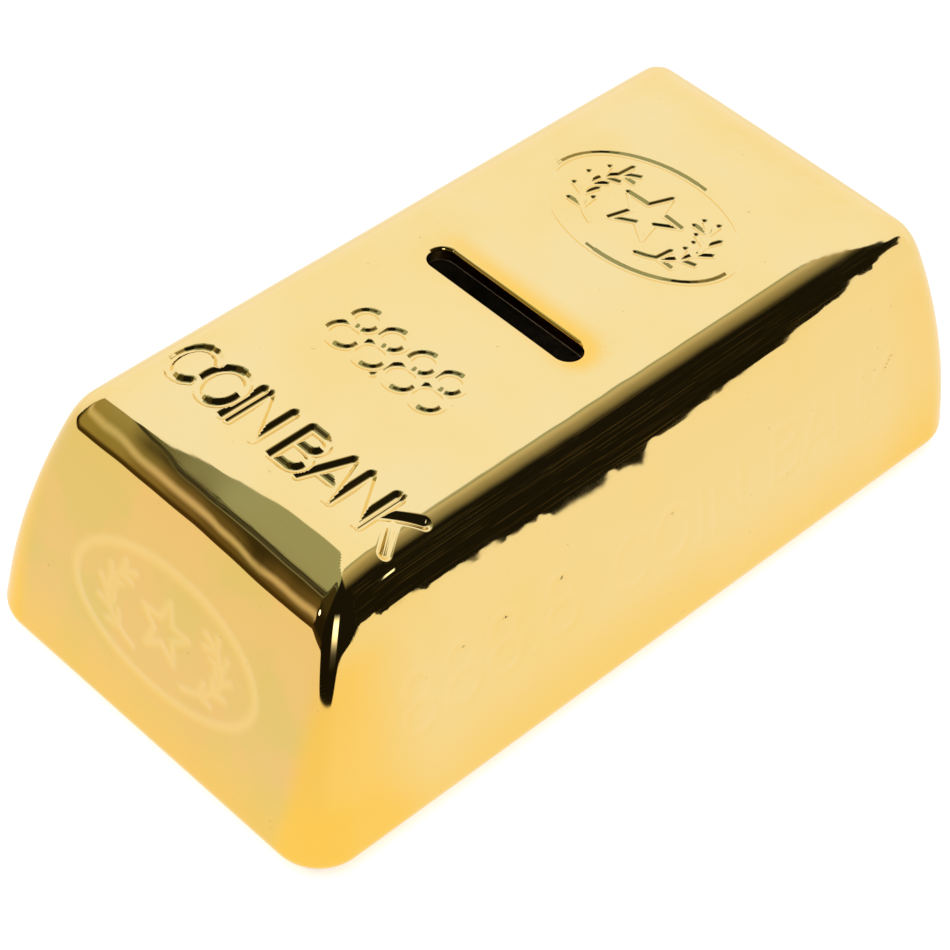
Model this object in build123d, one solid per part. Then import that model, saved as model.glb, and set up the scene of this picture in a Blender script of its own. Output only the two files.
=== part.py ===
"""Money box in the shape of a cast gold bar: a hollow ceramic body with a coin slot in its top,
a soft stopper with a pull tab in its base, and four foot pads.

X is across the bar, Y along it and Z up. The origin is on the table under the middle of the bar.
The near end is at -Y. Sizes are in millimetres.
"""

import os

from build123d import *

# Overall size of the bar
LENGTH = 176.6
WIDTH = 90.9
BODY_HEIGHT = 57.4
PAD_HEIGHT = 1.0

# How the sides and ends lean in and bulge
SIDE_LEAN = 12.5
END_LEAN = 14.4
STRAIGHT_SHARE = 0.34  # of the lean, the share that grows evenly with height; the rest grows with its square
CORNER_RADIUS = 8.0
SHOULDER_RADIUS = 7.5
FOOT_RADIUS = 3.5

# Wall, coin slot and base
WALL = 4.0
SLOT_LENGTH = 37.0
SLOT_WIDTH = 5.6
SLOT_LIP_RADIUS = 0.8
SLOT_CENTRE_Y = -3.15
RECESS_DEPTH = 2.5
RIM_WIDTH = 8.0
RECESS_CORNER_RADIUS = 12.0
OUTLET_RADIUS = 19.0

# Stopper
FLANGE_RADIUS = 23.0
FLANGE_HEIGHT = 1.6
SEAT_GAP = 0.02
NECK_RADIUS = 18.4
NECK_HEIGHT = 9.0
NECK_WALL = 1.8
SEAL_RIB_RADIUS = 18.95
SEAL_RIB_HEIGHTS = (2.0, 6.0)
WELL_RADIUS = 13.5
WELL_DEPTH = 2.7
WEB_HEIGHT = 1.6

# Pull tab
TAB_LENGTH = 17.0
TAB_WIDTH = 11.0
TAB_HEIGHT = 1.4
TAB_HOLE_RADIUS = 2.6
HINGE_PIN_RADIUS = 0.7
HINGE_INSET = 2.4
HINGE_GAP = 0.05

# Foot pads
PAD_RADIUS = 3.8
PAD_INSET = 7.6
PAD_EDGE_RADIUS = 0.3

# Levels worked out from the sizes above
FOOT_Z = PAD_HEIGHT
TOP_Z = FOOT_Z + BODY_HEIGHT
PANEL_Z = FOOT_Z + RECESS_DEPTH
FLOOR_Z = PANEL_Z + WALL
FLANGE_TOP_Z = PANEL_Z - SEAT_GAP
FLANGE_Z = FLANGE_TOP_Z - FLANGE_HEIGHT
HINGE_Z = FLANGE_Z + 0.4 + TAB_HEIGHT / 2
HINGE_Y = -WELL_RADIUS + HINGE_INSET


def leaning_profile(half, lean, low, high):
    """The closed outline of the bar seen from one end: a flat foot, two bulging sides and a flat top."""
    middle = (low + high) / 2
    middle_lean = lean * (STRAIGHT_SHARE / 2 + (1 - STRAIGHT_SHARE) / 4)
    right = ThreePointArc((half, low), (half - middle_lean, middle), (half - lean, high))
    left = ThreePointArc((lean - half, high), (middle_lean - half, middle), (-half, low))
    foot = Line((-half, low), (half, low))
    top = Line((half - lean, high), (lean - half, high))
    return make_face(foot + right + top + left)


def bar_block(half_x, half_y, lean_x, lean_y, low, high):
    """The bar with sharp edges, where the outlines seen from the end and from the side cross."""
    across = extrude(Plane.XZ * leaning_profile(half_x, lean_x, low, high), amount=half_y + 1, both=True)
    along = extrude(Plane.YZ * leaning_profile(half_y, lean_y, low, high), amount=half_x + 1, both=True)
    return across & along


def corner_edges(block, height):
    """The four edges that climb the corners of a bar block."""
    return block.edges().filter_by(lambda edge: edge.bounding_box().size.Z > height / 2)


def outer_form():
    """The solid bar as it looks from outside, before it is hollowed."""
    block = bar_block(WIDTH / 2, LENGTH / 2, SIDE_LEAN, END_LEAN, FOOT_Z, TOP_Z)
    block = fillet(corner_edges(block, BODY_HEIGHT), CORNER_RADIUS)
    top = block.faces().sort_by(Axis.Z)[-1]
    block = fillet(top.edges(), SHOULDER_RADIUS)
    foot = block.faces().sort_by(Axis.Z)[0]
    return fillet(foot.edges(), FOOT_RADIUS)


def hollow():
    """The space inside the casting, one wall in from the outer form."""
    high = TOP_Z - WALL
    share = (high - FOOT_Z) / BODY_HEIGHT
    block = bar_block(
        WIDTH / 2 - WALL, LENGTH / 2 - WALL, SIDE_LEAN * share, END_LEAN * share, FLOOR_Z, high
    )
    block = fillet(corner_edges(block, high - FLOOR_Z), CORNER_RADIUS - WALL + 1)
    return fillet(block.faces().sort_by(Axis.Z)[-1].edges(), SHOULDER_RADIUS - WALL)


def coin_slot():
    """A round-ended cutter through the top wall, with the glaze-rounded lip flared at the surface."""
    throat = extrude(SlotOverall(SLOT_LENGTH, SLOT_WIDTH), amount=BODY_HEIGHT / 3)
    return Pos(0, SLOT_CENTRE_Y, TOP_Z - BODY_HEIGHT / 4) * throat


def base_recess():
    """The shallow recess inside the foot rim, and the round outlet in its panel."""
    half_rim = RIM_WIDTH * 2
    floor = RectangleRounded(WIDTH - half_rim, LENGTH - half_rim, RECESS_CORNER_RADIUS)
    recess = Pos(0, 0, FOOT_Z) * extrude(floor, amount=RECESS_DEPTH)
    outlet = Pos(0, 0, PANEL_Z) * extrude(Circle(OUTLET_RADIUS), amount=WALL)
    return recess + outlet


def ceramic_body():
    body = outer_form() - hollow() - coin_slot() - base_recess()
    slot_mouth = body.edges().filter_by(
        lambda edge: edge.center().Z > TOP_Z - 1.0
        and abs(edge.center().Y - SLOT_CENTRE_Y) < SLOT_WIDTH
        and edge.bounding_box().size.Z < 1.0
    )
    return fillet(slot_mouth, SLOT_LIP_RADIUS)


def turned(*corners):
    """A solid of revolution about the bar's middle, from (radius, height) corners."""
    outline = Polyline(*corners, close=True)
    return revolve(Plane.XZ * make_face(outline), Axis.Z)


def stopper():
    """A soft cup: flange under the base panel, neck with two sealing ribs in the outlet, well for the tab."""
    neck_top = FLANGE_TOP_Z + NECK_HEIGHT
    web_z = FLANGE_Z + WELL_DEPTH
    cup = turned(
        (0, web_z), (WELL_RADIUS, web_z), (WELL_RADIUS, FLANGE_Z), (FLANGE_RADIUS, FLANGE_Z),
        (FLANGE_RADIUS, FLANGE_TOP_Z), (NECK_RADIUS, FLANGE_TOP_Z), (NECK_RADIUS, neck_top),
        (NECK_RADIUS - NECK_WALL, neck_top), (NECK_RADIUS - NECK_WALL, web_z + WEB_HEIGHT), (0, web_z + WEB_HEIGHT),
    )  # fmt: skip
    for height in SEAL_RIB_HEIGHTS:
        rib_z = FLANGE_TOP_Z + height
        cup += turned(
            (NECK_RADIUS - 0.2, rib_z - 0.6),
            (SEAL_RIB_RADIUS, rib_z),
            (NECK_RADIUS - 0.2, rib_z + 0.6),
        )
    for side in (-1, 1):
        ear_x = side * (TAB_WIDTH / 2 + 1.1)
        ear = Pos(ear_x, HINGE_Y, (HINGE_Z + web_z) / 2) * Box(1.6, 2.6, web_z - HINGE_Z + 1.8)
        cup += ear
    bore = Pos(0, HINGE_Y, HINGE_Z) * Rot(0, 90, 0) * Cylinder(HINGE_PIN_RADIUS + HINGE_GAP, TAB_WIDTH + 3.2)
    return cup - bore


def pull_tab():
    """A flat tab with a finger hole, on a thin barrel that turns in the stopper's two ears."""
    plate = Pos(0, HINGE_Y + TAB_LENGTH / 2, HINGE_Z) * Box(TAB_WIDTH, TAB_LENGTH, TAB_HEIGHT)
    tip = plate.edges().filter_by(Axis.Z).group_by(Axis.Y)[-1]
    plate = fillet(tip, TAB_WIDTH * 0.42)
    plate -= Pos(0, HINGE_Y + TAB_LENGTH * 0.66, HINGE_Z) * Cylinder(TAB_HOLE_RADIUS, TAB_HEIGHT * 2)
    barrel = Pos(0, HINGE_Y, HINGE_Z) * Rot(0, 90, 0) * Cylinder(HINGE_PIN_RADIUS, TAB_WIDTH + 3.0)
    return plate + barrel


def foot_pad(x, y):
    pad = Pos(x, y, PAD_HEIGHT / 2) * Cylinder(PAD_RADIUS, PAD_HEIGHT)
    return fillet(pad.edges().group_by(Axis.Z)[0], PAD_EDGE_RADIUS)


nodes = {"ceramic_body": ceramic_body(), "stopper": stopper(), "pull_tab": pull_tab()}
pad_x, pad_y = WIDTH / 2 - PAD_INSET, LENGTH / 2 - PAD_INSET
pad_places = ((pad_x, -pad_y), (pad_x, pad_y), (-pad_x, pad_y), (-pad_x, -pad_y))
for number, (x, y) in enumerate(pad_places, start=1):
    nodes[f"foot_pad_{number}"] = foot_pad(x, y)

os.makedirs("parts", exist_ok=True)
for name, solid in nodes.items():
    export_step(solid, f"parts/{name}.step")
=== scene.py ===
"""Looks of a gold-glazed ceramic money box in the shape of a cast bar: a hollow body with a coin slot
and pressed marks, a soft stopper with a pull tab, and four foot pads. Forms are worked out in millimetres
and scaled to metres when they become meshes.
"""

import math

import bmesh
import bpy
import numpy as np
from mathutils import Matrix, Vector


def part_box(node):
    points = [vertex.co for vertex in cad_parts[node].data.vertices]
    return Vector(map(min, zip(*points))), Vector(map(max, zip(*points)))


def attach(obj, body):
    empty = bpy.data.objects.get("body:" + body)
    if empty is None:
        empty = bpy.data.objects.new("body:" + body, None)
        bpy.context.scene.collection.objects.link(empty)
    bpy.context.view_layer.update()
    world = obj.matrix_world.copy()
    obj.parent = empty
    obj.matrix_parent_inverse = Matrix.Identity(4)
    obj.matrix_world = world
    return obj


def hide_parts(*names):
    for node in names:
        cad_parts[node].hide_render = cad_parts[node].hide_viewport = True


MM = 0.001
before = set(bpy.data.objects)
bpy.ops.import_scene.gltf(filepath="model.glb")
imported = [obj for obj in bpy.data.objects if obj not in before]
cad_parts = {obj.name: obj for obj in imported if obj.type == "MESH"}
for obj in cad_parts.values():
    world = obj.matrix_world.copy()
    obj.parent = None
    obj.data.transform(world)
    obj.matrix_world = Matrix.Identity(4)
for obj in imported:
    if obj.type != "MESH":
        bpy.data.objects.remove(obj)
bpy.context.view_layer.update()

# ---------------------------------------------------------------- sizes, in millimetres
body_low, body_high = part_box("ceramic_body")
FOOT_Z = body_low.z / MM
TOP_Z = body_high.z / MM
BODY_HEIGHT = TOP_Z - FOOT_Z
HALF_WIDTH = 45.45
HALF_LENGTH = 88.3
SIDE_LEAN = 12.5
END_LEAN = 14.4
STRAIGHT_SHARE = 0.34
LOW_CORNER_RADIUS, HIGH_CORNER_RADIUS = 10.0, 4.5
SHOULDER_RADIUS, SHOULDER_POWER = 10.5, 2.9
FOOT_RADIUS = 3.9
CROWN_DROP, CROWN_REACH = 0.5, 32.75
WALL = 4.0
CORE_DEPTH = 13.0
RAY_HALVINGS = 22
SLUMP, SLUMP_X, SLUMP_REACH = 0.82, 22.0, 14.5

SLOT_CENTRE = np.array([0.4, -3.15])
SLOT_LENGTH, SLOT_WIDTH = 39.0, 7.2
SLOT_LIP = 0.75
RECESS_DEPTH, RIM_WIDTH, RECESS_CORNER, RECESS_SLOPE = 2.5, 8.0, 12.0, 1.8
OUTLET_RADIUS = 19.0
OUTLET_LIP = 0.8
PANEL_Z = FOOT_Z + RECESS_DEPTH
FLOOR_Z = PANEL_Z + WALL


# ---------------------------------------------------------------- the bar's form as a distance field
def lean_share(height):
    """How much of its full lean a side has at a height given as a share of the body's height."""
    return STRAIGHT_SHARE * height + (1 - STRAIGHT_SHARE) * height**2


def rounded_max(a, b, radius, power):
    """The larger of two distances, with the corner between them rounded."""
    u, v = np.maximum(a + radius, 0), np.maximum(b + radius, 0)
    corner = np.power(u**power + v**power + 1e-12, 1 / power) - radius
    return corner + np.minimum(np.maximum(a, b) + radius, 0)


def smooth(value, low, high):
    share = np.clip((value - low) / (high - low), 0, 1)
    return share * share * (3 - 2 * share)


def ripple(points, wavelength, seed, waves=7):
    """A gentle unevenness between -1 and 1 from a few plane waves in fixed, seeded directions."""
    draw = np.random.default_rng(seed)
    total = np.zeros(len(points))
    for _ in range(waves):
        direction = draw.normal(size=3)
        direction *= 2 * math.pi / wavelength / np.linalg.norm(direction) * draw.uniform(0.7, 1.4)
        total += np.sin(points @ direction + draw.uniform(0, 6.28))
    return total / waves


def crown(x, y):
    """How far the top lies below its highest level."""
    drop = 0
    for place, edge in ((x, HALF_WIDTH - SIDE_LEAN), (y, HALF_LENGTH - END_LEAN)):
        drop = drop + CROWN_DROP * np.clip((np.abs(place) - (edge - CROWN_REACH)) / CROWN_REACH, 0, 1.3) ** 4
    return drop


def near_end_sag(x, y):
    """The casting has slumped a little where its top meets the near end."""
    return SLUMP * smooth(-y, 60.0, 76.0) * np.exp(-(((x - SLUMP_X) / SLUMP_REACH) ** 2))


def outer_distance(points):
    """About how far a point is outside the bar's skin, marks and recess left out."""
    x, y, z = points.T
    height = np.clip((z - FOOT_Z) / BODY_HEIGHT, -0.1, 1.2)
    sides = []
    for place, half, lean in ((x, HALF_WIDTH, SIDE_LEAN), (y, HALF_LENGTH, END_LEAN)):
        slope = lean / BODY_HEIGHT * (STRAIGHT_SHARE + 2 * (1 - STRAIGHT_SHARE) * height)
        sides.append((np.abs(place) - half + lean * lean_share(height)) / np.sqrt(1 + slope**2))
    corner = LOW_CORNER_RADIUS + (HIGH_CORNER_RADIUS - LOW_CORNER_RADIUS) * np.clip(height, 0, 1)
    wall = rounded_max(*sides, corner, 2.0)
    top = z - (TOP_Z - crown(x, y) - near_end_sag(x, y))
    skin = rounded_max(wall, top, SHOULDER_RADIUS, SHOULDER_POWER)
    skin = rounded_max(skin, FOOT_Z - z, FOOT_RADIUS, 2.0)
    above_foot = smooth(z, FOOT_Z + 1, FOOT_Z + 8)
    broad, fine = 1 + ripple(points, 46, 3), 1 + ripple(points, 10, 5)
    return skin + above_foot * (0.10 * broad + 0.02 * fine)


def inner_distance(points):
    return rounded_max(outer_distance(points) + WALL, FLOOR_Z - points[:, 2], 3.0, 2.0)


def wrapped(points, distance):
    """Moves points of the sharp-edged leaning bar onto a skin, along rays from the bar's core."""
    core = points.copy()
    core[:, 2] = np.clip(points[:, 2], FOOT_Z + CORE_DEPTH, TOP_Z - CORE_DEPTH)
    share = lean_share((core[:, 2] - FOOT_Z) / BODY_HEIGHT)
    for axis, half, lean in ((0, HALF_WIDTH, SIDE_LEAN), (1, HALF_LENGTH, END_LEAN)):
        reach = half - lean * share - CORE_DEPTH
        core[:, axis] = np.clip(points[:, axis], -reach, reach)
    ray = points - core
    low, high = np.zeros(len(points)), np.ones(len(points))
    for _ in range(RAY_HALVINGS):
        middle = (low + high) / 2
        inside = distance(core + ray * middle[:, None]) < 0
        low, high = np.where(inside, middle, low), np.where(inside, high, middle)
    return core + ray * low[:, None]


def slope_of(field, points, step=0.03):
    """The unit gradient of a field."""
    parts = []
    for axis in range(3):
        shift = np.zeros(3)
        shift[axis] = step
        parts.append(field(points + shift) - field(points - shift))
    gradient = np.stack(parts, 1)
    return gradient / np.maximum(np.linalg.norm(gradient, axis=1, keepdims=True), 1e-9)


# ---------------------------------------------------------------- strokes of the pressed marks
def arc(cx, cy, rx, ry, start, end, steps=14):
    """Points along an ellipse's arc, angles in degrees."""
    turns = np.radians(np.linspace(start, end, steps + 1))
    return [(cx + rx * math.cos(t), cy + ry * math.sin(t)) for t in turns]


def ring(cx, cy, rx, ry, steps=28):
    return arc(cx, cy, rx, ry, 0, 360, steps)


# Each sign is strokes in a box one unit high, from x = 0 to the given width
SIGNS = {
    "A": (0.74, [[(0, 0), (0.37, 1), (0.74, 0)], [(0.13, 0.34), (0.61, 0.34)]]),
    "B": (0.6, [[(0, 0), (0, 1), (0.3, 1)] + arc(0.3, 0.77, 0.24, 0.23, 90, -90) + [(0, 0.54)],
                [(0.3, 0.54)] + arc(0.32, 0.27, 0.28, 0.27, 90, -90) + [(0, 0)]]),
    "C": (0.72, [arc(0.42, 0.5, 0.42, 0.5, 45, 315)]),
    "I": (0.12, [[(0.06, 0), (0.06, 1)]]),
    "K": (0.64, [[(0, 0), (0, 1)], [(0.6, 1), (0, 0.4)], [(0.22, 0.62), (0.64, 0)]]),
    "N": (0.66, [[(0, 0), (0, 1), (0.66, 0), (0.66, 1)]]),
    "O": (0.8, [ring(0.4, 0.5, 0.4, 0.5)]),
    "1": (0.3, [[(0, 0.76), (0.24, 1), (0.24, 0)]]),
    "2": (0.58, [arc(0.29, 0.7, 0.28, 0.3, 165, -30) + [(0.02, 0), (0.58, 0)]]),
    "3": (0.56, [arc(0.26, 0.75, 0.26, 0.25, 150, -90), arc(0.27, 0.26, 0.29, 0.26, 90, -150)]),
    "4": (0.64, [[(0.46, 0), (0.46, 1), (0, 0.3), (0.64, 0.3)]]),
    "5": (0.58, [[(0.54, 1), (0.1, 1), (0.06, 0.56)] + arc(0.26, 0.32, 0.31, 0.32, 125, -145)]),
    "6": (0.6, [ring(0.3, 0.31, 0.29, 0.31), arc(0.56, 0.36, 0.55, 0.64, 180, 110)]),
    "8": (0.6, [ring(0.3, 0.76, 0.24, 0.24), ring(0.3, 0.27, 0.3, 0.27)]),
    ".": (0.1, [[(0.05, 0.0), (0.05, 0.02)]]),
}


def lettering(text, left, right, base, height):
    """Strokes of a line of signs spread evenly between left and right."""
    widths = [SIGNS[sign][0] * height if sign != " " else height * 0.3 for sign in text]
    gap = (right - left - sum(widths)) / (len(text) - 1)
    strokes, x = [], left
    for sign, width in zip(text, widths):
        if sign != " ":
            for stroke in SIGNS[sign][1]:
                strokes.append([(x + u * height, base + v * height) for u, v in stroke])
        x += width + gap
    return strokes


def emblem(cx, cy, rx, ry):
    """An oval ring around a star between two leafy sprays. Returns the ring and what is inside it."""
    star_radius = ry * 0.5
    star = []
    for point in range(11):
        turn = math.radians(90 + 36 * point)
        reach = star_radius * (1.0 if point % 2 == 0 else 0.42)
        star.append((cx + reach * math.cos(turn), cy + 0.04 * ry + reach * math.sin(turn)))
    inside = [star]
    for side in (-1, 1):
        stem = arc(cx, cy, side * rx * 0.64, ry * 0.68, -64, 52, 12)
        inside.append(stem)
        for place in (2, 4, 6, 8, 10):
            x, y = stem[place]
            ahead_x, ahead_y = stem[place + 1]
            along = Vector((ahead_x - x, ahead_y - y)).normalized()
            for hand in (-1, 1):
                leaf = Matrix.Rotation(hand * 0.75, 2) @ along * ry * 0.24
                inside.append([(x, y), (x + leaf.x, y + leaf.y)])
    return [ring(cx, cy, rx, ry, 60)], inside


# Beyond this a point counts as far from a group of strokes
MARK_REACH, FAR = 6.0, 99.0


class Panel:
    """A face of the bar with its marks: groups of strokes on the panel's own u and v."""

    def __init__(self, outward, rightward, upward):
        self.outward, self.rightward, self.upward = (np.array(v, float) for v in (outward, rightward, upward))
        self.groups = []

    def add(self, strokes, half_width, depth, halvings):
        """Adds strokes of one half width and depth, and how often the mesh is halved under them."""
        starts = [p for s in strokes for p in s[:-1]]
        ends = [p for s in strokes for p in s[1:]]
        self.groups.append((np.array(starts, float), np.array(ends, float), half_width, depth, halvings))

    def faces(self, normals):
        return normals @ self.outward > 0.6

    def reach(self, points):
        """For each group, the distance of every point from its nearest stroke."""
        u, v = points @ self.rightward, points @ self.upward
        found = []
        for starts, ends, half_width, depth, halvings in self.groups:
            nearest = np.full(len(points), FAR)
            low = np.minimum(starts, ends).min(0) - MARK_REACH
            high = np.maximum(starts, ends).max(0) + MARK_REACH
            near = (u > low[0]) & (u < high[0]) & (v > low[1]) & (v < high[1])
            spot = np.stack([u[near], v[near]], 1)
            best = np.full(len(spot), FAR)
            for a, b in zip(starts, ends):
                run = b - a
                share = np.clip(((spot - a) @ run) / max(run @ run, 1e-9), 0, 1)
                best = np.minimum(best, np.linalg.norm(spot - a - share[:, None] * run, axis=1))
            nearest[near] = best
            found.append((nearest, half_width, depth, halvings))
        return found

    def depth(self, points):
        """How deep the marks are pressed in at each point."""
        total = np.zeros(len(points))
        for nearest, half_width, depth, _ in self.reach(points):
            share = np.clip(nearest / half_width, 0, 1)
            total = np.maximum(total, depth * 0.5 * (1 + np.cos(math.pi * share)))
        return total


def marked_panels():
    """The five marked faces: top, two long sides and two ends."""
    top = Panel((0, 0, 1), (1, 0, 0), (0, 1, 0))
    top.add(lettering("COIN BANK", -27.6, 30.0, -61.0, 9.6), 1.5, 0.9, 3)
    top.add(lettering("88.88", -15.2, 12.9, -34.4, 11.4), 1.15, 0.5, 3)
    oval, inside = emblem(0.7, 33.5, 21.0, 14.3)
    top.add(oval, 1.1, 0.42, 3)
    top.add(inside, 0.95, 0.45, 3)
    top.add(lettering("123456", -21.0, 24.5, 56.6, 9.2), 1.5, 0.16, 2)
    panels = [top]
    for side in (1, -1):
        long_side = Panel((side, 0, 0), (0, side, 0), (0, 0, 1))
        long_side.add(lettering("888.8", -65.0, -22.5, 22.0, 12.6), 1.7, 0.12, 2)
        long_side.add(lettering("COIN", -12.5, 21.5, 21.0, 11.0), 1.7, 0.10, 2)
        long_side.add(lettering("BANK", 31.0, 64.5, 22.0, 11.0), 1.7, 0.10, 2)
        end = Panel((0, -side, 0), (side, 0, 0), (0, 0, 1))
        oval, inside = emblem(0.3, 27.5, 23.4, 12.2)
        end.add(oval, 1.9, 0.20, 2)
        end.add(inside, 1.5, 0.19, 2)
        panels += [long_side, end]
    return panels


PANELS = marked_panels()


def slot_axis(points):
    """The nearest points on the middle line of the slot."""
    half_run = (SLOT_LENGTH - SLOT_WIDTH) / 2
    nearest = np.empty((len(points), 2))
    nearest[:, 0] = np.clip(points[:, 0], SLOT_CENTRE[0] - half_run, SLOT_CENTRE[0] + half_run)
    nearest[:, 1] = SLOT_CENTRE[1]
    return nearest


def slot_distance(points):
    """How far a point is outside the slot's mouth, seen from above."""
    return np.linalg.norm(points[:, :2] - slot_axis(points), axis=1) - SLOT_WIDTH / 2


def recess_distance(points):
    """How far a point is outside the base recess, seen from below."""
    spot = np.abs(points[:, :2]) - np.array([HALF_WIDTH, HALF_LENGTH]) + RIM_WIDTH + RECESS_CORNER
    return np.linalg.norm(np.maximum(spot, 0), axis=1) + np.minimum(spot.max(1), 0) - RECESS_CORNER


def pressed_depth(points, normals):
    """How far the skin lies inside the plain bar: marks, the dip around the slot and the base recess."""
    depth = np.zeros(len(points))
    for panel in PANELS:
        here = panel.faces(normals)
        depth[here] = np.maximum(depth[here], panel.depth(points[here]))
    above = normals[:, 2] > 0.6
    depth[above] += 0.35 * (1 - smooth(slot_distance(points[above]), 0.0, 3.6))
    below = normals[:, 2] < -0.8
    depth[below] += RECESS_DEPTH * smooth(-recess_distance(points[below]), 0, RECESS_SLOPE)
    return depth


# ---------------------------------------------------------------- the ceramic body
def graded_places(low, high, fine_low, fine_high, fine, coarse):
    """Cut places along one side of the bar: close together near its two ends, wider between."""
    places = list(np.arange(low + fine, low + fine_low, fine))
    places += list(np.arange(high - fine, high - fine_high, -fine))
    count = max(2, round((high - fine_high - low - fine_low) / coarse))
    places += list(np.linspace(low + fine_low, high - fine_high, count + 1))
    return places


def sharp_bar(x_cuts, y_cuts, z_cuts):
    """A block of the bar's overall size, cut into a grid and leaned in."""
    bm = bmesh.new()
    size = Vector((2 * HALF_WIDTH, 2 * HALF_LENGTH, BODY_HEIGHT))
    place = Matrix.Translation((0, 0, FOOT_Z + BODY_HEIGHT / 2)) @ Matrix.Diagonal((*size, 1))
    bmesh.ops.create_cube(bm, size=1, matrix=place)
    for axis, cuts in enumerate((x_cuts, y_cuts, z_cuts)):
        normal = Vector((axis == 0, axis == 1, axis == 2))
        for cut in cuts:
            everything = bm.verts[:] + bm.edges[:] + bm.faces[:]
            bmesh.ops.bisect_plane(bm, geom=everything, plane_co=normal * cut, plane_no=normal)
    for v in bm.verts:
        share = lean_share((v.co.z - FOOT_Z) / BODY_HEIGHT)
        v.co.x *= (HALF_WIDTH - SIDE_LEAN * share) / HALF_WIDTH
        v.co.y *= (HALF_LENGTH - END_LEAN * share) / HALF_LENGTH
    return bm


def places_of(verts):
    return np.array([v.co for v in verts], float).reshape(-1, 3)


def detail_wanted(points):
    """How far each point is from anything that needs a fine mesh, and how many halvings it may have."""
    normals = slope_of(outer_distance, points)
    distance, most = np.full(len(points), FAR), np.zeros(len(points), int)

    def claim(here, away, halvings):
        closer = away < distance[here]
        distance[here[closer]] = away[closer]
        most[here[closer]] = halvings

    for panel in PANELS:
        here = np.flatnonzero(panel.faces(normals))
        for nearest, half_width, _, halvings in panel.reach(points[here]):
            claim(here, nearest - half_width, halvings)
    above, below = (np.flatnonzero(normals[:, 2] * facing > 0.6) for facing in (1, -1))
    claim(above, np.abs(slot_distance(points[above])), 3)
    claim(below, np.abs(recess_distance(points[below])), 1)
    claim(below, np.abs(np.linalg.norm(points[below, :2], axis=1) - OUTLET_RADIUS), 1)
    high = np.flatnonzero(points[:, 2] > TOP_Z - 12)
    corner = np.array([HALF_WIDTH - SIDE_LEAN, HALF_LENGTH - END_LEAN]) - 3
    away = np.linalg.norm(np.abs(points[high, :2]) - corner, axis=1) - 7
    claim(high, np.maximum(away, 0), 1)
    return distance, most


def refine(bm):
    """Halves the grid around the marks, the slot and the base openings, more the closer they are."""
    for level, margin in ((1, 1.0), (2, 0.3), (3, 0.1)):
        bm.verts.index_update()
        distance, most = detail_wanted(wrapped(places_of(bm.verts), outer_distance))
        wanted = (distance < margin) & (most >= level)
        faces = [f for f in bm.faces if any(wanted[v.index] for v in f.verts)]
        edges = {e for f in faces for e in f.edges}
        bmesh.ops.subdivide_edges(bm, edges=list(edges), cuts=1, use_grid_fill=True)


# What a vertex of the body belongs to. The inner wall and its edges have 0
SKIN, THROAT = 1, 2


def boundary(bm, test):
    return [e for e in bm.edges if e.is_boundary and all(test(v.co) for v in e.verts)]


def by_slot(co):
    return co.z > BODY_HEIGHT / 2 and abs(co.y - SLOT_CENTRE[1]) < SLOT_WIDTH * 1.5


def by_outlet(co):
    return co.z < FOOT_Z + 12 and math.hypot(co.x, co.y) < OUTLET_RADIUS * 1.3


def cut_hole(bm, facing, field, axis_of, radius):
    """Removes the faces inside a hole and draws the edge left onto its true outline. Returns that edge."""
    faces = [f for f in bm.faces if f.normal.z * facing > 0.7]
    centres = np.array([f.calc_center_median() for f in faces], float)
    doomed = [f for f, away in zip(faces, field(centres)) if away < 0]
    bmesh.ops.delete(bm, geom=doomed, context="FACES")
    edge = boundary(bm, by_slot if facing > 0 else by_outlet)
    verts = list({v for e in edge for v in e.verts})
    spots = places_of(verts)
    axis = axis_of(spots)
    for v, middle in zip(verts, axis):
        away = Vector((v.co.x - middle[0], v.co.y - middle[1])).normalized() * radius
        v.co.x, v.co.y = middle[0] + away.x, middle[1] + away.y
    return edge


def throat(bm, edge, axis_of, steps):
    """Draws a hole's edge through the wall, one (radius, height) step after another."""
    for radius, height in steps:
        made = bmesh.ops.extrude_edge_only(bm, edges=edge)["geom"]
        edge = [g for g in made if isinstance(g, bmesh.types.BMEdge)]
        verts = [g for g in made if isinstance(g, bmesh.types.BMVert)]
        part = bm.verts.layers.int["part"]
        for v, middle in zip(verts, axis_of(places_of(verts))):
            v[part] = THROAT
            away = Vector((v.co.x - middle[0], v.co.y - middle[1])).normalized() * radius
            v.co = (middle[0] + away.x, middle[1] + away.y, height)
    return edge


def outlet_axis(points):
    return np.zeros((len(points), 2))


def outlet_distance(points):
    return np.linalg.norm(points[:, :2], axis=1) - OUTLET_RADIUS - OUTLET_LIP


def lip_steps(radius, height, turn, lip):
    """A quarter-round lip that starts level at the mouth and ends straight into the wall."""
    turns = [math.pi / 2 * part / 5 for part in range(1, 6)]
    return [(radius - lip * math.sin(t), height - turn * lip * (1 - math.cos(t))) for t in turns]


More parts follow.
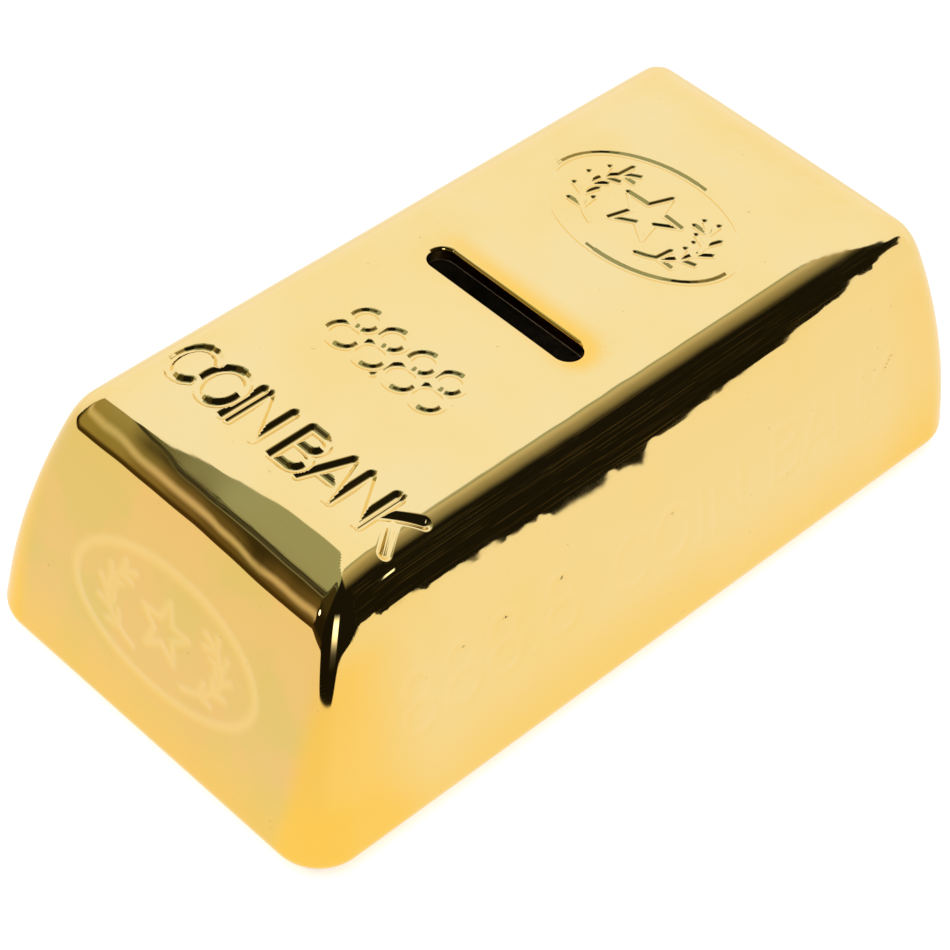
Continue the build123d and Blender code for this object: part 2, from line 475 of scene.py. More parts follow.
def ceramic_skin():
    """The outer skin in its final place, with its normals, and its marks, the dip round the slot and the base
    recess pressed in; the slot and outlet are not cut yet.
    """
    x_cuts = graded_places(-HALF_WIDTH, HALF_WIDTH, 13, 13, 1.2, 2.4)
    y_cuts = graded_places(-HALF_LENGTH, HALF_LENGTH, 15, 15, 1.2, 2.4)
    top_scale = 1 - END_LEAN / HALF_LENGTH
    y_cuts = [cut for cut in y_cuts if abs(cut * top_scale - SLOT_CENTRE[1]) > SLOT_WIDTH / 2 + 0.9]
    y_cuts += [(SLOT_CENTRE[1] + SLOT_WIDTH / 2 * share) / top_scale for share in (-1, -0.33, 0.33, 1)]
    z_cuts = graded_places(FOOT_Z, TOP_Z, 4.8, 14, 1.2, 2.4)
    bm = sharp_bar(x_cuts, y_cuts, z_cuts)
    refine(bm)
    plain = wrapped(places_of(bm.verts), outer_distance)
    normals = slope_of(outer_distance, plain)
    pressed = plain - normals * pressed_depth(plain, normals)[:, None]
    part = bm.verts.layers.int.new("part")
    for v, place in zip(bm.verts, pressed):
        v.co = place
        v[part] = SKIN
    bm.normal_update()
    return bm


def skin_normals(points):
    """Smooth normals of the pressed skin, from its form rather than its facets."""
    facing = slope_of(outer_distance, points)

    def whole(moved):
        return outer_distance(moved) + pressed_depth(moved, facing)

    return slope_of(whole, points)


def ceramic_body():
    bm = ceramic_skin()
    slot_edge = cut_hole(bm, 1, slot_distance, slot_axis, SLOT_WIDTH / 2)
    outlet_edge = cut_hole(bm, -1, outlet_distance, outlet_axis, OUTLET_RADIUS + OUTLET_LIP)
    mouth_z = min(v.co.z for e in slot_edge for v in e.verts)
    half = SLOT_WIDTH / 2
    steps = lip_steps(half, mouth_z, 1, SLOT_LIP)
    under = TOP_Z - WALL
    steps += [(half - SLOT_LIP, mouth_z + (under - mouth_z) * part / 4) for part in (1.3, 2.2, 3.1)]
    steps += [(half - SLOT_LIP + 0.15, under + 0.25), (half - SLOT_LIP + 0.6, under - 0.1)]
    throat(bm, slot_edge, slot_axis, steps)
    steps = lip_steps(OUTLET_RADIUS + OUTLET_LIP, PANEL_Z, -1, OUTLET_LIP)
    steps += [(OUTLET_RADIUS, FLOOR_Z - 1.2), (OUTLET_RADIUS + 0.2, FLOOR_Z - 0.3)]
    steps += [(OUTLET_RADIUS + OUTLET_LIP, FLOOR_Z)]
    throat(bm, outlet_edge, outlet_axis, steps)

    inner = sharp_bar(
        graded_places(-HALF_WIDTH, HALF_WIDTH, 12, 12, 3, 5),
        graded_places(-HALF_LENGTH, HALF_LENGTH, 12, 12, 3, 5),
        graded_places(FOOT_Z, TOP_Z, 9, 12, 3, 5),
    )
    for level in (4.0, 2.0):
        inner.verts.index_update()
        spots = wrapped(places_of(inner.verts), inner_distance)
        near = (np.abs(slot_distance(spots)) < level) & (spots[:, 2] > 30)
        near |= (np.abs(outlet_distance(spots)) < level) & (spots[:, 2] < 15)
        edges = {e for f in inner.faces if any(near[v.index] for v in f.verts) for e in f.edges}
        bmesh.ops.subdivide_edges(inner, edges=list(edges), cuts=1, use_grid_fill=True)
    for v, place in zip(inner.verts, wrapped(places_of(inner.verts), inner_distance)):
        v.co = place
    inner.normal_update()
    cut_hole(inner, 1, slot_distance, slot_axis, half + 0.5)
    cut_hole(inner, -1, outlet_distance, outlet_axis, OUTLET_RADIUS + 1.6)
    bmesh.ops.reverse_faces(inner, faces=inner.faces[:])
    spare = bpy.data.meshes.new("inner_skin")
    inner.to_mesh(spare)
    inner.free()
    bm.from_mesh(spare)
    bpy.data.meshes.remove(spare)
    for test in (by_slot, by_outlet):
        bmesh.ops.bridge_loops(bm, edges=boundary(bm, test))
    return bm, mouth_z


def new_piece(name, bm, body, node, materials):
    """Scales a finished mesh to metres and makes it a piece that stands for a CAD node."""
    bmesh.ops.scale(bm, vec=(MM, MM, MM), verts=bm.verts[:])
    mesh = bpy.data.meshes.new(name)
    bm.to_mesh(mesh)
    bm.free()
    mesh.polygons.foreach_set("use_smooth", [True] * len(mesh.polygons))
    for material in materials:
        mesh.materials.append(material)
    piece = bpy.data.objects.new(name, mesh)
    bpy.context.scene.collection.objects.link(piece)
    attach(piece, body)
    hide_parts(node)
    return piece


# ---------------------------------------------------------------- materials
class Nodes:
    """A material's or world's node tree with short calls for the nodes that it uses."""

    def __init__(self, tree):
        self.tree = tree
        tree.nodes.clear()

    def add(self, kind, **settings):
        node = self.tree.nodes.new(kind)
        for key, value in settings.items():
            setattr(node, key, value)
        return node

    def link(self, source, target):
        self.tree.links.new(source, target)

    def feed(self, socket, value):
        if isinstance(value, bpy.types.NodeSocket):
            self.link(value, socket)
        else:
            socket.default_value = value

    def math(self, operation, a, b=0.0, c=0.0):
        node = self.add("ShaderNodeMath", operation=operation)
        for socket, value in zip(node.inputs, (a, b, c)):
            self.feed(socket, value)
        return node.outputs[0]

    def band(self, value, low, high, to_low=0.0, to_high=1.0):
        node = self.add("ShaderNodeMapRange", interpolation_type="SMOOTHSTEP")
        for name, given in zip(("Value", "From Min", "From Max", "To Min", "To Max"),
                               (value, low, high, to_low, to_high)):
            self.feed(node.inputs[name], given)
        return node.outputs[0]

    def mix(self, share, a, b):
        node = self.add("ShaderNodeMix", data_type="RGBA")
        for socket, value in zip((node.inputs["Factor"], node.inputs[6], node.inputs[7]), (share, a, b)):
            self.feed(socket, value)
        return node.outputs[2]

    def noise(self, vector, scale, detail=3.0, roughness=0.5):
        node = self.add("ShaderNodeTexNoise")
        self.link(vector, node.inputs["Vector"])
        node.inputs["Scale"].default_value = scale
        node.inputs["Detail"].default_value = detail
        node.inputs["Roughness"].default_value = roughness
        return node.outputs["Fac"]

    def object_place(self):
        return self.add("ShaderNodeTexCoord").outputs["Object"]


def new_material(name):
    material = bpy.data.materials.new(name)
    material.use_nodes = True
    nodes = Nodes(material.node_tree)
    shader = nodes.add("ShaderNodeBsdfPrincipled")
    nodes.link(shader.outputs[0], nodes.add("ShaderNodeOutputMaterial").inputs[0])
    return material, nodes, shader


def grain_group():
    """The slight grain of a surface, from noise on its own place, as a node group for every finish."""
    group = bpy.data.node_groups.new("fine_grain", "ShaderNodeTree")
    group.interface.new_socket("Place", in_out="INPUT", socket_type="NodeSocketVector")
    group.interface.new_socket("Scale", in_out="INPUT", socket_type="NodeSocketFloat")
    group.interface.new_socket("Strength", in_out="INPUT", socket_type="NodeSocketFloat")
    group.interface.new_socket("Normal", in_out="OUTPUT", socket_type="NodeSocketVector")
    nodes = Nodes(group)
    given = nodes.add("NodeGroupInput").outputs
    grain = nodes.add("ShaderNodeTexNoise")
    nodes.link(given["Place"], grain.inputs["Vector"])
    nodes.link(given["Scale"], grain.inputs["Scale"])
    grain.inputs["Detail"].default_value = 1.5
    bump = nodes.add("ShaderNodeBump")
    bump.inputs["Distance"].default_value = 0.0002
    nodes.link(given["Strength"], bump.inputs["Strength"])
    nodes.link(grain.outputs["Fac"], bump.inputs["Height"])
    nodes.link(bump.outputs[0], nodes.add("NodeGroupOutput").inputs["Normal"])
    return group


FINE_GRAIN = grain_group()


def blend_surfaces(nodes, share, first, second):
    """Makes the material's surface a blend of two shaders."""
    blend = nodes.add("ShaderNodeMixShader")
    for source, socket in zip((share, first.outputs[0], second.outputs[0]), blend.inputs):
        nodes.link(source, socket)
    output = next(n for n in nodes.tree.nodes if n.type == "OUTPUT_MATERIAL")
    nodes.link(blend.outputs[0], output.inputs[0])


def fine_grain(nodes, shader, place, scale, strength):
    """Puts the shared grain on a finish, at its own scale and strength."""
    grain = nodes.add("ShaderNodeGroup", node_tree=FINE_GRAIN)
    nodes.link(place, grain.inputs["Place"])
    grain.inputs["Scale"].default_value = scale
    grain.inputs["Strength"].default_value = strength
    nodes.link(grain.outputs["Normal"], shader.inputs["Normal"])


def gold_glaze():
    """Bright gold film, pale on top, with painted reflections on it: tan and mottled on the ends, orange at
    the foot as a painted reflection of shade, down the sides, at the end corners, on the far rims and round
    the slot, and lighter in the pressed marks of the sides and ends.
    """
    material, nodes, shader = new_material("gold_glaze")
    place = nodes.object_place()
    painted_warm_reflection = nodes.add("ShaderNodeAttribute", attribute_name="painted_warm_reflection").outputs["Fac"]
    reflected_tan = nodes.add("ShaderNodeAttribute", attribute_name="reflected_tan").outputs["Fac"]
    cloud = nodes.noise(place, 34, 4)
    pale = nodes.mix(nodes.band(cloud, 0.35, 0.7), (0.93, 0.745, 0.37, 1), (0.93, 0.715, 0.30, 1))
    # Painted reflection on the end faces: a duller tan, mottled green and pink, blended in by how squarely a
    # face looks along the bar
    green = nodes.band(nodes.noise(place, 60, 5), 0.42, 0.62)
    pink = nodes.band(nodes.noise(place, 45, 3), 0.58, 0.72)
    painted_end_reflection = nodes.mix(green, (0.85, 0.58, 0.24, 1), (0.76, 0.59, 0.215, 1))
    painted_end_reflection = nodes.mix(nodes.math("MULTIPLY", pink, 0.6), painted_end_reflection, (0.87, 0.535, 0.245, 1))
    color = nodes.mix(reflected_tan, pale, painted_end_reflection)
    # Painted highlight: the pressed marks on the sides and ends are lighter
    painted_mark_highlight = nodes.add("ShaderNodeAttribute", attribute_name="painted_mark_highlight").outputs["Fac"]
    color = nodes.mix(nodes.math("MULTIPLY", painted_mark_highlight, 0.6), color, (0.97, 0.73, 0.33, 1))
    # Painted reflection: orange at the foot (painted reflected shade), down the sides, at the corners, on the
    # far rims and round the slot
    color = nodes.mix(painted_warm_reflection, color, (1.0, 0.615, 0.10, 1))
    speck = nodes.band(nodes.noise(place, 900, 1), 0.79, 0.81)
    color = nodes.mix(nodes.math("MULTIPLY", speck, 0.3), color, (0.35, 0.22, 0.06, 1))
    nodes.link(color, shader.inputs["Base Color"])
    nodes.link(nodes.band(nodes.noise(place, 90, 5), 0.3, 0.8, 0.015, 0.045), shader.inputs["Roughness"])
    shader.inputs["Metallic"].default_value = 1.0
    fine_grain(nodes, shader, place, 130, 0.05)

    # Bare earthenware of the base panel and the inside, where the film stops
    clay = nodes.add("ShaderNodeBsdfPrincipled")
    shade = nodes.mix(nodes.noise(place, 120, 6), (0.50, 0.42, 0.31, 1), (0.62, 0.55, 0.44, 1))
    nodes.link(shade, clay.inputs["Base Color"])
    clay.inputs["Roughness"].default_value = 0.8
    fine_grain(nodes, clay, place, 900, 0.5)
    bare = nodes.add("ShaderNodeAttribute", attribute_name="bare").outputs["Fac"]
    ragged = nodes.math("ADD", bare, nodes.band(nodes.noise(place, 300, 2), 0.3, 0.7, -0.08, 0.08))
    blend_surfaces(nodes, nodes.band(ragged, 0.47, 0.53), shader, clay)
    return material


def soft_plastic():
    """Milky moulded plastic of the stopper and its tab."""
    material, nodes, shader = new_material("soft_plastic")
    place = nodes.object_place()
    shade = nodes.mix(nodes.noise(place, 70, 4), (0.50, 0.49, 0.44, 1), (0.60, 0.59, 0.53, 1))
    nodes.link(shade, shader.inputs["Base Color"])
    nodes.link(nodes.band(nodes.noise(place, 400, 4), 0.3, 0.7, 0.32, 0.5), shader.inputs["Roughness"])
    shader.inputs["Subsurface Weight"].default_value = 0.25
    shader.inputs["Subsurface Radius"].default_value = (0.003, 0.003, 0.003)
    fine_grain(nodes, shader, place, 1600, 0.12)
    return material


def foot_rubber():
    """Grey rubber of the foot pads."""
    material, nodes, shader = new_material("foot_rubber")
    place = nodes.object_place()
    shade = nodes.mix(nodes.noise(place, 500, 5), (0.16, 0.16, 0.15, 1), (0.24, 0.24, 0.23, 1))
    nodes.link(shade, shader.inputs["Base Color"])
    nodes.link(nodes.band(nodes.noise(place, 900, 3), 0.3, 0.7, 0.55, 0.8), shader.inputs["Roughness"])
    fine_grain(nodes, shader, place, 2600, 0.3)
    return material


# ---------------------------------------------------------------- the small pieces
def softened(corners, radius, parts=4):
    """An outline of (radius, height) corners with each corner between its ends rounded off."""
    outline = [corners[0]]
    for before, corner, after in zip(corners, corners[1:], corners[2:]):
        a, c, b = Vector(before), Vector(corner), Vector(after)
        start = c + (a - c).normalized() * radius
        end = c + (b - c).normalized() * radius
        for part in range(parts + 1):
            share = part / parts
            outline.append(tuple(start.lerp(c, share).lerp(c.lerp(end, share), share)))
    return outline + [corners[-1]]


def turned(outline, centre, steps):
    """A solid of revolution about an upright line, from an outline that starts and ends on that line."""
    bm = bmesh.new()
    drawn = [bm.verts.new((centre[0] + radius, centre[1], height)) for radius, height in outline]
    for a, b in zip(drawn, drawn[1:]):
        bm.edges.new((a, b))
    bmesh.ops.spin(bm, geom=bm.verts[:] + bm.edges[:], cent=(*centre, 0), axis=(0, 0, 1), dvec=(0, 0, 0),
                   angle=2 * math.pi, steps=steps, use_merge=True, use_duplicate=False)
    bmesh.ops.remove_doubles(bm, verts=bm.verts[:], dist=1e-4)
    bmesh.ops.recalc_face_normals(bm, faces=bm.faces[:])
    return bm


def pierced_plate(bm, hole, rim_of, thickness):
    """Adds a plate with a round hole (its radius and steps), and returns its sharp edges. rim_of gives the
    plate's edge for each point of a circle round the hole.
    """
    radius, count = hole
    inner = bmesh.ops.create_circle(bm, segments=count, radius=radius)["verts"]
    outer = bmesh.ops.create_circle(bm, segments=count, radius=radius * 1.2)["verts"]
    for v in outer:
        v.co.x, v.co.y = rim_of(v.co.x / (radius * 1.2), v.co.y / (radius * 1.2))
    edges = {e for v in inner + outer for e in v.link_edges}
    faces = bmesh.ops.bridge_loops(bm, edges=list(edges))["faces"]
    made = bmesh.ops.extrude_face_region(bm, geom=faces)["geom"]
    raised = [g for g in made if isinstance(g, bmesh.types.BMVert)]
    bmesh.ops.translate(bm, vec=(0, 0, thickness), verts=raised)
    plate = inner + outer + raised
    edges = {e for v in plate for e in v.link_edges if len(e.link_faces) == 2}
    return [e for e in edges if e.calc_face_angle(0) > 0.9]


WELL_RADIUS = 13.5
FLANGE_TOP = PANEL_Z - 0.02
FLANGE_Z = FLANGE_TOP - 1.6
WEB_Z = FLANGE_Z + 2.7
HINGE_Z = FLANGE_Z + 1.1
HINGE_Y = -11.1
TAB_HALF_WIDTH = 5.5
TAB_LENGTH = 17


def lug_rim(x, y):
    """A lug round the hinge pin, long enough on one side to root in the stopper's web."""
    return 1.3 * x, 1.3 * y + (WEB_Z + 0.8 - HINGE_Z if y > 0.05 else 0.0)


def stopper():
    """The bung: a flange with a well for the tab, a neck with two soft ribs, and two lugs in the well."""
    flange, neck, rib_reach, bore = 23, 18.4, 18.95, 16.6
    neck_top = FLANGE_TOP + 9
    corners = [(0, WEB_Z), (WELL_RADIUS, WEB_Z), (WELL_RADIUS, FLANGE_Z)]
    corners += [(flange, FLANGE_Z), (flange, FLANGE_TOP), (neck, FLANGE_TOP)]
    for rib_z in (FLANGE_TOP + 2.0, FLANGE_TOP + 6.0):
        corners += [(neck, rib_z - 0.75), (rib_reach, rib_z), (neck, rib_z + 0.75)]
    corners += [(neck, neck_top), (bore, neck_top), (bore, WEB_Z + 1.6), (0, WEB_Z + 1.6)]
    bm = turned(softened(corners, 0.28), (0, 0), 144)
    for side in (-1, 1):
        old = set(bm.verts)
        sharp = pierced_plate(bm, (0.76, 32), lug_rim, 1.6)
        bmesh.ops.bevel(bm, geom=sharp, offset=0.12, affect="EDGES", segments=2, profile=0.5, material=-1)
        lug = [v for v in bm.verts if v not in old]
        stand = Matrix(((0, 0, 1), (1, 0, 0), (0, 1, 0))).to_4x4()
        shift = Matrix.Translation((side * (TAB_HALF_WIDTH + 1.1) - 0.8, HINGE_Y, HINGE_Z))
        bmesh.ops.transform(bm, matrix=shift @ stand, verts=lug)
    bmesh.ops.recalc_face_normals(bm, faces=bm.faces[:])
    return bm


TAB_HOLE_Y = HINGE_Y + TAB_LENGTH * 0.66


def tab_rim(x, y):
    """The tab's edge in one direction from its finger hole: square at the hinge, round at the tip."""
    reach = 0.0
    for step in range(1, 1700):
        spot_x, spot_y = abs(x) * step * 0.01, TAB_HOLE_Y + y * step * 0.01
        tip = spot_y > TAB_HOLE_Y
        radius = 4.6 if tip else 0.4
        over_x = spot_x - TAB_HALF_WIDTH + radius
        over_y = (spot_y - HINGE_Y - TAB_LENGTH if tip else HINGE_Y - spot_y) + radius
        if math.hypot(max(over_x, 0), max(over_y, 0)) + min(max(over_x, over_y), 0) > radius:
            break
        reach = step * 0.01
    return x * reach, y * reach


def pull_tab():
    """The tab: a thin plate with a finger hole, on a hinge pin."""
    bm = bmesh.new()
    sharp = pierced_plate(bm, (2.6, 96), tab_rim, 1.4)
    bmesh.ops.bevel(bm, geom=sharp, offset=0.22, affect="EDGES", segments=3, profile=0.5, material=-1)
    bmesh.ops.translate(bm, vec=(0, TAB_HOLE_Y, HINGE_Z - 0.7), verts=bm.verts[:])
    pin = bmesh.ops.create_cone(bm, cap_ends=True, segments=32, radius1=0.7, radius2=0.7, depth=14)["verts"]
    rims = {e for v in pin for e in v.link_edges if e.calc_face_angle(0) > 0.9}
    place = Matrix.Translation((0, HINGE_Y, HINGE_Z)) @ Matrix.Rotation(math.pi / 2, 4, "Y")
    bmesh.ops.transform(bm, matrix=place, verts=pin)
    bmesh.ops.bevel(bm, geom=list(rims), offset=0.12, affect="EDGES", segments=2, profile=0.5, material=-1)
    bmesh.ops.recalc_face_normals(bm, faces=bm.faces[:])
    return bm


def foot_pad(x, y):
    """A round pad from the foot of the body down to the table."""
    corners = [(0, FOOT_Z), (3.8, FOOT_Z), (3.8, 0), (0, 0)]
    return turned(softened(corners, 0.3), (x, y), 64)


# ---------------------------------------------------------------- build the pieces
def paint(mesh, name, values):
    """Stores one value between 0 and 1 for each vertex, for a material to read."""
    attribute = mesh.attributes.new(name, "FLOAT", "POINT")
    attribute.data.foreach_set("value", np.clip(values, 0, 1).astype(np.float32))


def lip_normals(points, mouth_z):
    """Normals of the coin slot's rounded lip and of its straight throat."""
    inward = slot_axis(points) - points[:, :2]
    inward /= np.maximum(np.linalg.norm(inward, axis=1, keepdims=True), 1e-6)
    rise = np.clip(1 - (mouth_z - points[:, 2]) / SLOT_LIP, 0, 1)
    return np.column_stack([inward * np.sqrt(1 - rise**2)[:, None], rise])


def make_body():
    """The gold bar as a piece, with its exact normals, the shares of the painted reflections and painted
    highlight on its film, and where the film stops on bare clay.
    """
    bm, mouth_z = ceramic_body()
    points = places_of(bm.verts)
    normals = np.zeros((len(points), 3))
    layer = bm.verts.layers.int["part"]
    part = np.array([v[layer] for v in bm.verts])
    bm.verts.layers.int.remove(layer)
    outer = part == SKIN
    normals[outer] = skin_normals(points[outer])
    lip = (part == THROAT) & (points[:, 2] > TOP_Z - WALL + 0.6)
    normals[lip] = lip_normals(points[lip], mouth_z)
    piece = new_piece("gold_bar", bm, "bar", "ceramic_body", [gold_glaze()])
    piece.data.normals_split_custom_set_from_vertices(normals.tolist())
    x, y, z = points.T
    # Painted reflection: orange round the slot, most on its far side; at the foot a painted reflection of the
    # shade round the base; down the sides; at the end corners, less at the far end; and on the far and left
    # rims near the top
    halo = (1 - smooth(slot_distance(points), 0.2, 4.4)) * (z > TOP_Z - 4)
    halo = halo * (0.15 + 0.85 * smooth(y - SLOT_CENTRE[1] + 0.22 * x, -3.0, 4.0))
    foot = 1 - smooth(z, FOOT_Z + 1, FOOT_Z + 22)
    shoulder_side = smooth(TOP_Z - z, 2, 9)
    ends = smooth(np.abs(y) - 58, 0, 18) * smooth(TOP_Z - z, 6, 16) * smooth(np.abs(x), 33, 38)
    far_rim = (smooth(y, 58, 74) + smooth(-x, 22, 33)) * (1 - shoulder_side)
    painted_warm_reflection = 0.8 * halo + 0.5 * foot + 0.6 * ends * (1 - 0.6 * (y > 0))
    paint(piece.data, "painted_warm_reflection", painted_warm_reflection + 0.22 * shoulder_side + 0.25 * far_rim)
    bare = smooth(-recess_distance(points), -0.2, 0.8) * (z < FLOOR_Z + 6)
    bare = np.where(outer | lip, bare, 1.0)
    paint(piece.data, "bare", bare)
    # Painted reflection: the share of the duller tan film, by how squarely a face looks along the bar
    paint(piece.data, "reflected_tan", smooth(np.abs(normals[:, 1]), 0.45, 0.85))
    # Painted highlight: how deep the marks on the sides and ends are pressed, for a lighter film in them
    painted_mark_highlight = np.zeros(len(points))
    for panel in PANELS[1:]:
        here = np.flatnonzero(outer & panel.faces(normals))
        painted_mark_highlight[here] = panel.depth(points[here]) / 0.2
    paint(piece.data, "painted_mark_highlight", painted_mark_highlight)
    return piece


make_body()
plastic, rubber = soft_plastic(), foot_rubber()
new_piece("base_stopper", stopper(), "bung", "stopper", [plastic])
new_piece("stopper_tab", pull_tab(), "tab", "pull_tab", [plastic])
for number in range(1, 5):
    pad_low, pad_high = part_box(f"foot_pad_{number}")
    middle = (pad_low + pad_high) / 2 / MM
    pad = foot_pad(middle.x, middle.y)
    new_piece(f"rubber_foot_{number}", pad, "bar", f"foot_pad_{number}", [rubber])


# ---------------------------------------------------------------- studio
def studio_world():
    """A white table and a broad pale window around the bar in a dark room, with a few small lamps."""
    world = bpy.data.worlds.new("studio")
    bpy.context.scene.world = world
    world.use_nodes = True
    nodes = Nodes(world.node_tree)
    band, mix = nodes.band, nodes.mix

    def add(a, b):
        return nodes.math("ADD", a, b)

    def times(a, b):
        return nodes.math("MULTIPLY", a, b)

    direction = nodes.add("ShaderNodeTexCoord").outputs["Generated"]
    split = nodes.add("ShaderNodeSeparateXYZ")
    nodes.link(direction, split.inputs[0])
    x, y, z = split.outputs
    wobble = add(nodes.noise(direction, 7, 3), -0.5)
    by_y = nodes.add("ShaderNodeCombineXYZ")
    nodes.link(y, by_y.inputs[0])
    jag = add(nodes.noise(by_y.outputs[0], 70, 1.5, 0.6), -0.5)

    # The window, with a thin bronze frame on its right, and tan then black beyond the frame
    window_foot = band(x, -0.575, -0.455, -0.42, 0.10)
    above_foot = add(nodes.math("SUBTRACT", y, window_foot), times(wobble, 0.16))
    across = nodes.math("SUBTRACT", add(x, times(wobble, 0.12)), band(y, 0.632, 0.668, 0.0, 0.55))
    window = times(band(above_foot, -0.012, 0.012), band(across, 0.075, 0.045))
    reflected_tan = mix(band(x, 0.05, 0.34), (0.66, 0.58, 0.38, 1), (0.30, 0.26, 0.14, 1))
    frame_line = band(nodes.math("ABSOLUTE", add(across, -0.075)), 0.03, 0.01)
    reflected_tan = mix(times(frame_line, 0.7), reflected_tan, (0.42, 0.30, 0.12, 1))
    streaks = nodes.add("ShaderNodeMapping", vector_type="POINT")
    streaks.inputs["Scale"].default_value = (26, 3, 26)
    nodes.link(direction, streaks.inputs["Vector"])
    lines = times(band(nodes.noise(streaks.outputs[0], 1.6, 4), 0.56, 0.7), band(y, 0.2, 0.4))
    dark = mix(times(lines, 0.6), (0.010, 0.009, 0.005, 1), (0.10, 0.07, 0.03, 1))
    room = mix(times(band(x, 0.02, 0.06), band(y, 0.0, 0.2)), dark, mix(band(x, 0.3, 0.52), reflected_tan, dark))

    # Left of the frame, below the window: grey wall, then a brown floor line with a bronze glow low down
    wall_foot = add(band(x, -0.575, -0.51, -0.42, -0.70), band(x, -0.50, -0.15, 0.0, 0.3))
    over_wall = add(nodes.math("SUBTRACT", y, wall_foot), times(wobble, 0.08))
    contour = band(nodes.math("SINE", add(times(over_wall, 42), times(wobble, 22))), 0.86, 0.97)
    contour = times(contour, band(over_wall, 0.22, 0.1))
    grey = mix(band(x, -0.55, -0.47), (0.17, 0.17, 0.08, 1), (0.35, 0.39, 0.28, 1))
    grey = mix(times(contour, 0.85), grey, (0.05, 0.05, 0.02, 1))
    skirting = band(nodes.math("ABSOLUTE", add(over_wall, -0.05)), 0.06, 0.02)
    grey = mix(times(skirting, 0.85), grey, (0.03, 0.024, 0.012, 1))
    left = band(x, 0.16, 0.05)
    brown = mix(band(x, -0.57, -0.50), (0.36, 0.31, 0.13, 1), (0.15, 0.115, 0.04, 1))
    brown = mix(band(x, -0.485, -0.45), brown, (0.02, 0.016, 0.007, 1))
    brown = mix(times(band(z, 0.34, 0.6), band(x, -0.57, -0.53)), brown, (0.05, 0.04, 0.014, 1))
    glow_z = add(band(x, -0.58, -0.53, 0.35, 0.23), band(x, -0.50, -0.465, 0.0, -0.10))
    from_glow = nodes.math("ABSOLUTE", nodes.math("SUBTRACT", z, glow_z))
    glow = times(band(from_glow, 0.15, 0.0), band(x, -0.45, -0.48))
    brown = mix(times(glow, 0.9), brown, (0.72, 0.65, 0.48, 1))
    brown = mix(band(z, 0.03, -0.05), brown, (0.07, 0.045, 0.01, 1))
    below = mix(band(over_wall, -0.015, 0.015), brown, grey)
    color = mix(times(left, band(x, -0.90, -0.75)), room, below)
    color = mix(window, color, (1.0, 1.0, 1.0, 1))

    # The table's far edge: level to the left, dipping and ragged to the right
    right = band(x, 0.35, 0.5)
    dip = nodes.math("MAXIMUM", add(1.0, times(nodes.math("POWER", add(y, -0.55), 2.0), -156.0)), 0.0)
    edge = add(times(dip, -0.23), band(y, 0.62, 0.675, 0.0, 0.42))
    jag = times(times(jag, band(y, -0.1, 0.2)), 0.34)
    edge = add(-0.10, times(right, add(edge, jag)))
    corner = times(band(y, -0.5, -0.65), band(x, 0.1, 0.35))
    edge = add(edge, times(corner, -0.09))
    on_table = band(nodes.math("SUBTRACT", z, edge), 0.006, -0.006)

    # The lamps: an upright strip at the near corner, a short level bar and a round spot
    lamp_x = nodes.math("ABSOLUTE", add(add(times(x, 0.748), times(y, 0.664)), -0.04))
    strip = times(band(lamp_x, 0.16, 0.11), band(x, 0.3, 0.4))
    strip = times(strip, times(band(z, -0.1, 0.3), band(z, 0.62, 0.4)))
    bar_z = nodes.math("ABSOLUTE", add(z, -0.475))
    bar_lamp = times(band(bar_z, 0.03, 0.015), band(x, 0.6, 0.65))
    bar_lamp = times(bar_lamp, times(band(y, 0.455, 0.465), band(y, 0.488, 0.482)))
    color = mix(strip, color, (2.2, 2.3, 2.4, 1))
    color = mix(bar_lamp, color, (1.6, 1.7, 1.7, 1))
    spot = nodes.add("ShaderNodeVectorMath", operation="DISTANCE")
    nodes.link(direction, spot.inputs[0])
    spot.inputs[1].default_value = (-0.36, -0.87, 0.33)
    color = mix(band(spot.outputs["Value"], 0.07, 0.03), color, (6.0, 6.3, 6.5, 1))
    table = mix(band(z, -0.75, -0.1), (0.98, 0.97, 0.93, 1), (0.97, 0.93, 0.80, 1))
    color = mix(on_table, color, table)
    camera_ray = nodes.add("ShaderNodeLightPath").outputs["Is Camera Ray"]
    color = mix(camera_ray, color, (1, 1, 1, 1))
    background = nodes.add("ShaderNodeBackground")
    nodes.link(color, background.inputs["Color"])
    nodes.link(background.outputs[0], nodes.add("ShaderNodeOutputWorld").inputs[0])


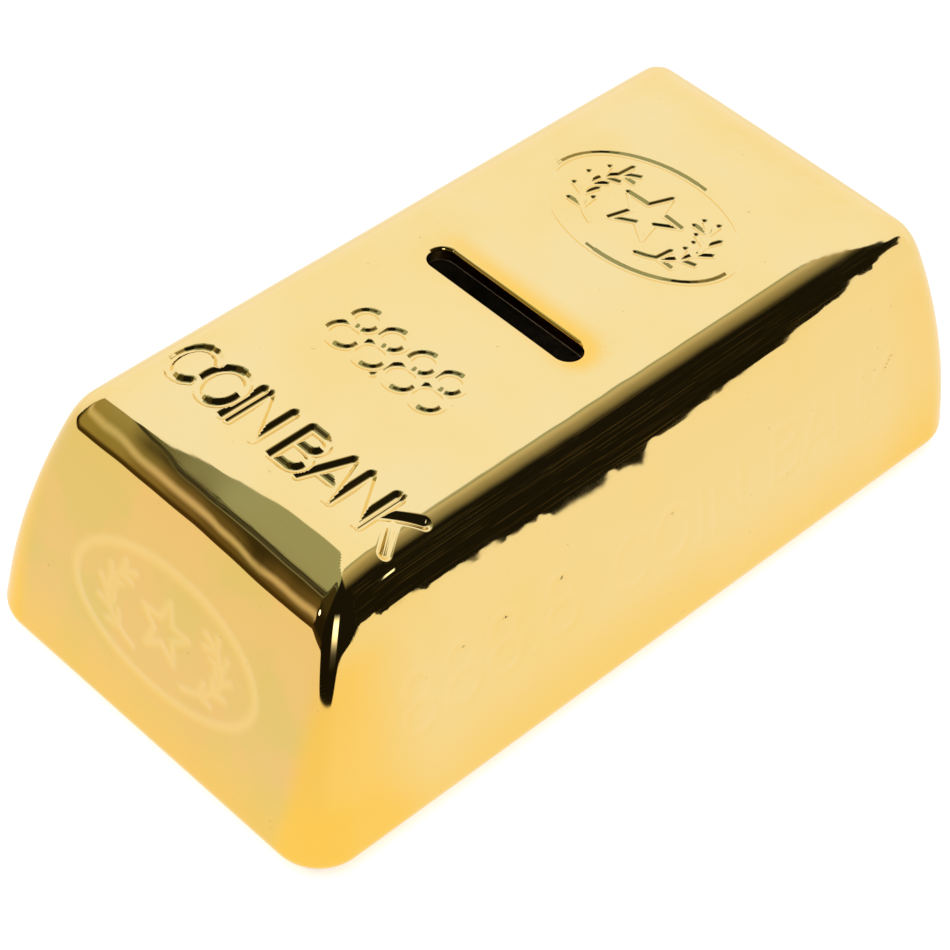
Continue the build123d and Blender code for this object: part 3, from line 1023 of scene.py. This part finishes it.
def floor():
    """A pale table that the gloss doesn't see, because the world holds its reflection, clear from below."""
    bm = bmesh.new()
    bmesh.ops.create_grid(bm, x_segments=2, y_segments=2, size=4.0)
    mesh = bpy.data.meshes.new("floor")
    bm.to_mesh(mesh)
    bm.free()
    piece = bpy.data.objects.new("floor", mesh)
    bpy.context.scene.collection.objects.link(piece)
    material, nodes, shader = new_material("floor")
    shader.inputs["Base Color"].default_value = (0.9, 0.9, 0.9, 1)
    shader.inputs["Roughness"].default_value = 0.9
    shader.inputs["Specular IOR Level"].default_value = 0.0
    shader.inputs["Emission Color"].default_value = (1, 1, 1, 1)
    shader.inputs["Emission Strength"].default_value = 0.6
    clear = nodes.add("ShaderNodeBsdfTransparent")
    from_below = nodes.add("ShaderNodeNewGeometry").outputs["Backfacing"]
    blend_surfaces(nodes, from_below, shader, clear)
    mesh.materials.append(material)
    piece.visible_glossy = False


def sun(name, strength, angle, tilt_x, tilt_y):
    """A broad light from above that leaves no glint. Angles in degrees."""
    light = bpy.data.lights.new(name, "SUN")
    light.energy = strength
    light.angle = math.radians(angle)
    lamp = bpy.data.objects.new(name, light)
    lamp.rotation_euler = (math.radians(tilt_x), math.radians(tilt_y), 0)
    lamp.visible_glossy = False
    bpy.context.scene.collection.objects.link(lamp)


CAMERA_AZIMUTH, CAMERA_ELEVATION, CAMERA_ROLL = 41.242, 45.291, 5.806
CAMERA_DISTANCE, CAMERA_SIDE, CAMERA_RISE = 580.3, -5.283, -13.0
CAMERA_LENS = 117.43


def camera():
    """The eye, on a line from the middle of the body, with a slight roll. Distances in millimetres."""
    azimuth, elevation, roll = (math.radians(a) for a in (CAMERA_AZIMUTH, CAMERA_ELEVATION, CAMERA_ROLL))
    back = Vector((math.sin(azimuth) * math.cos(elevation), -math.cos(azimuth) * math.cos(elevation),
                   math.sin(elevation)))
    level = Vector((0, 0, 1)).cross(back).normalized()
    over = back.cross(level)
    right = math.cos(roll) * level + math.sin(roll) * over
    up = -math.sin(roll) * level + math.cos(roll) * over
    middle = Vector((0, 0, FOOT_Z + BODY_HEIGHT / 2))
    place = middle + back * CAMERA_DISTANCE + right * CAMERA_SIDE + up * CAMERA_RISE
    data = bpy.data.cameras.new("camera")
    data.lens = CAMERA_LENS
    data.clip_start, data.clip_end = 0.01, 20
    eye = bpy.data.objects.new("camera", data)
    turn = Matrix((right, up, back)).transposed().to_4x4()
    eye.matrix_world = Matrix.Translation(place * MM) @ turn
    bpy.context.scene.collection.objects.link(eye)
    bpy.context.scene.camera = eye


studio_world()
floor()
sun("overhead", 2.2, 90, 10, -10)
camera()
bpy.context.scene.view_settings.view_transform = "Standard"
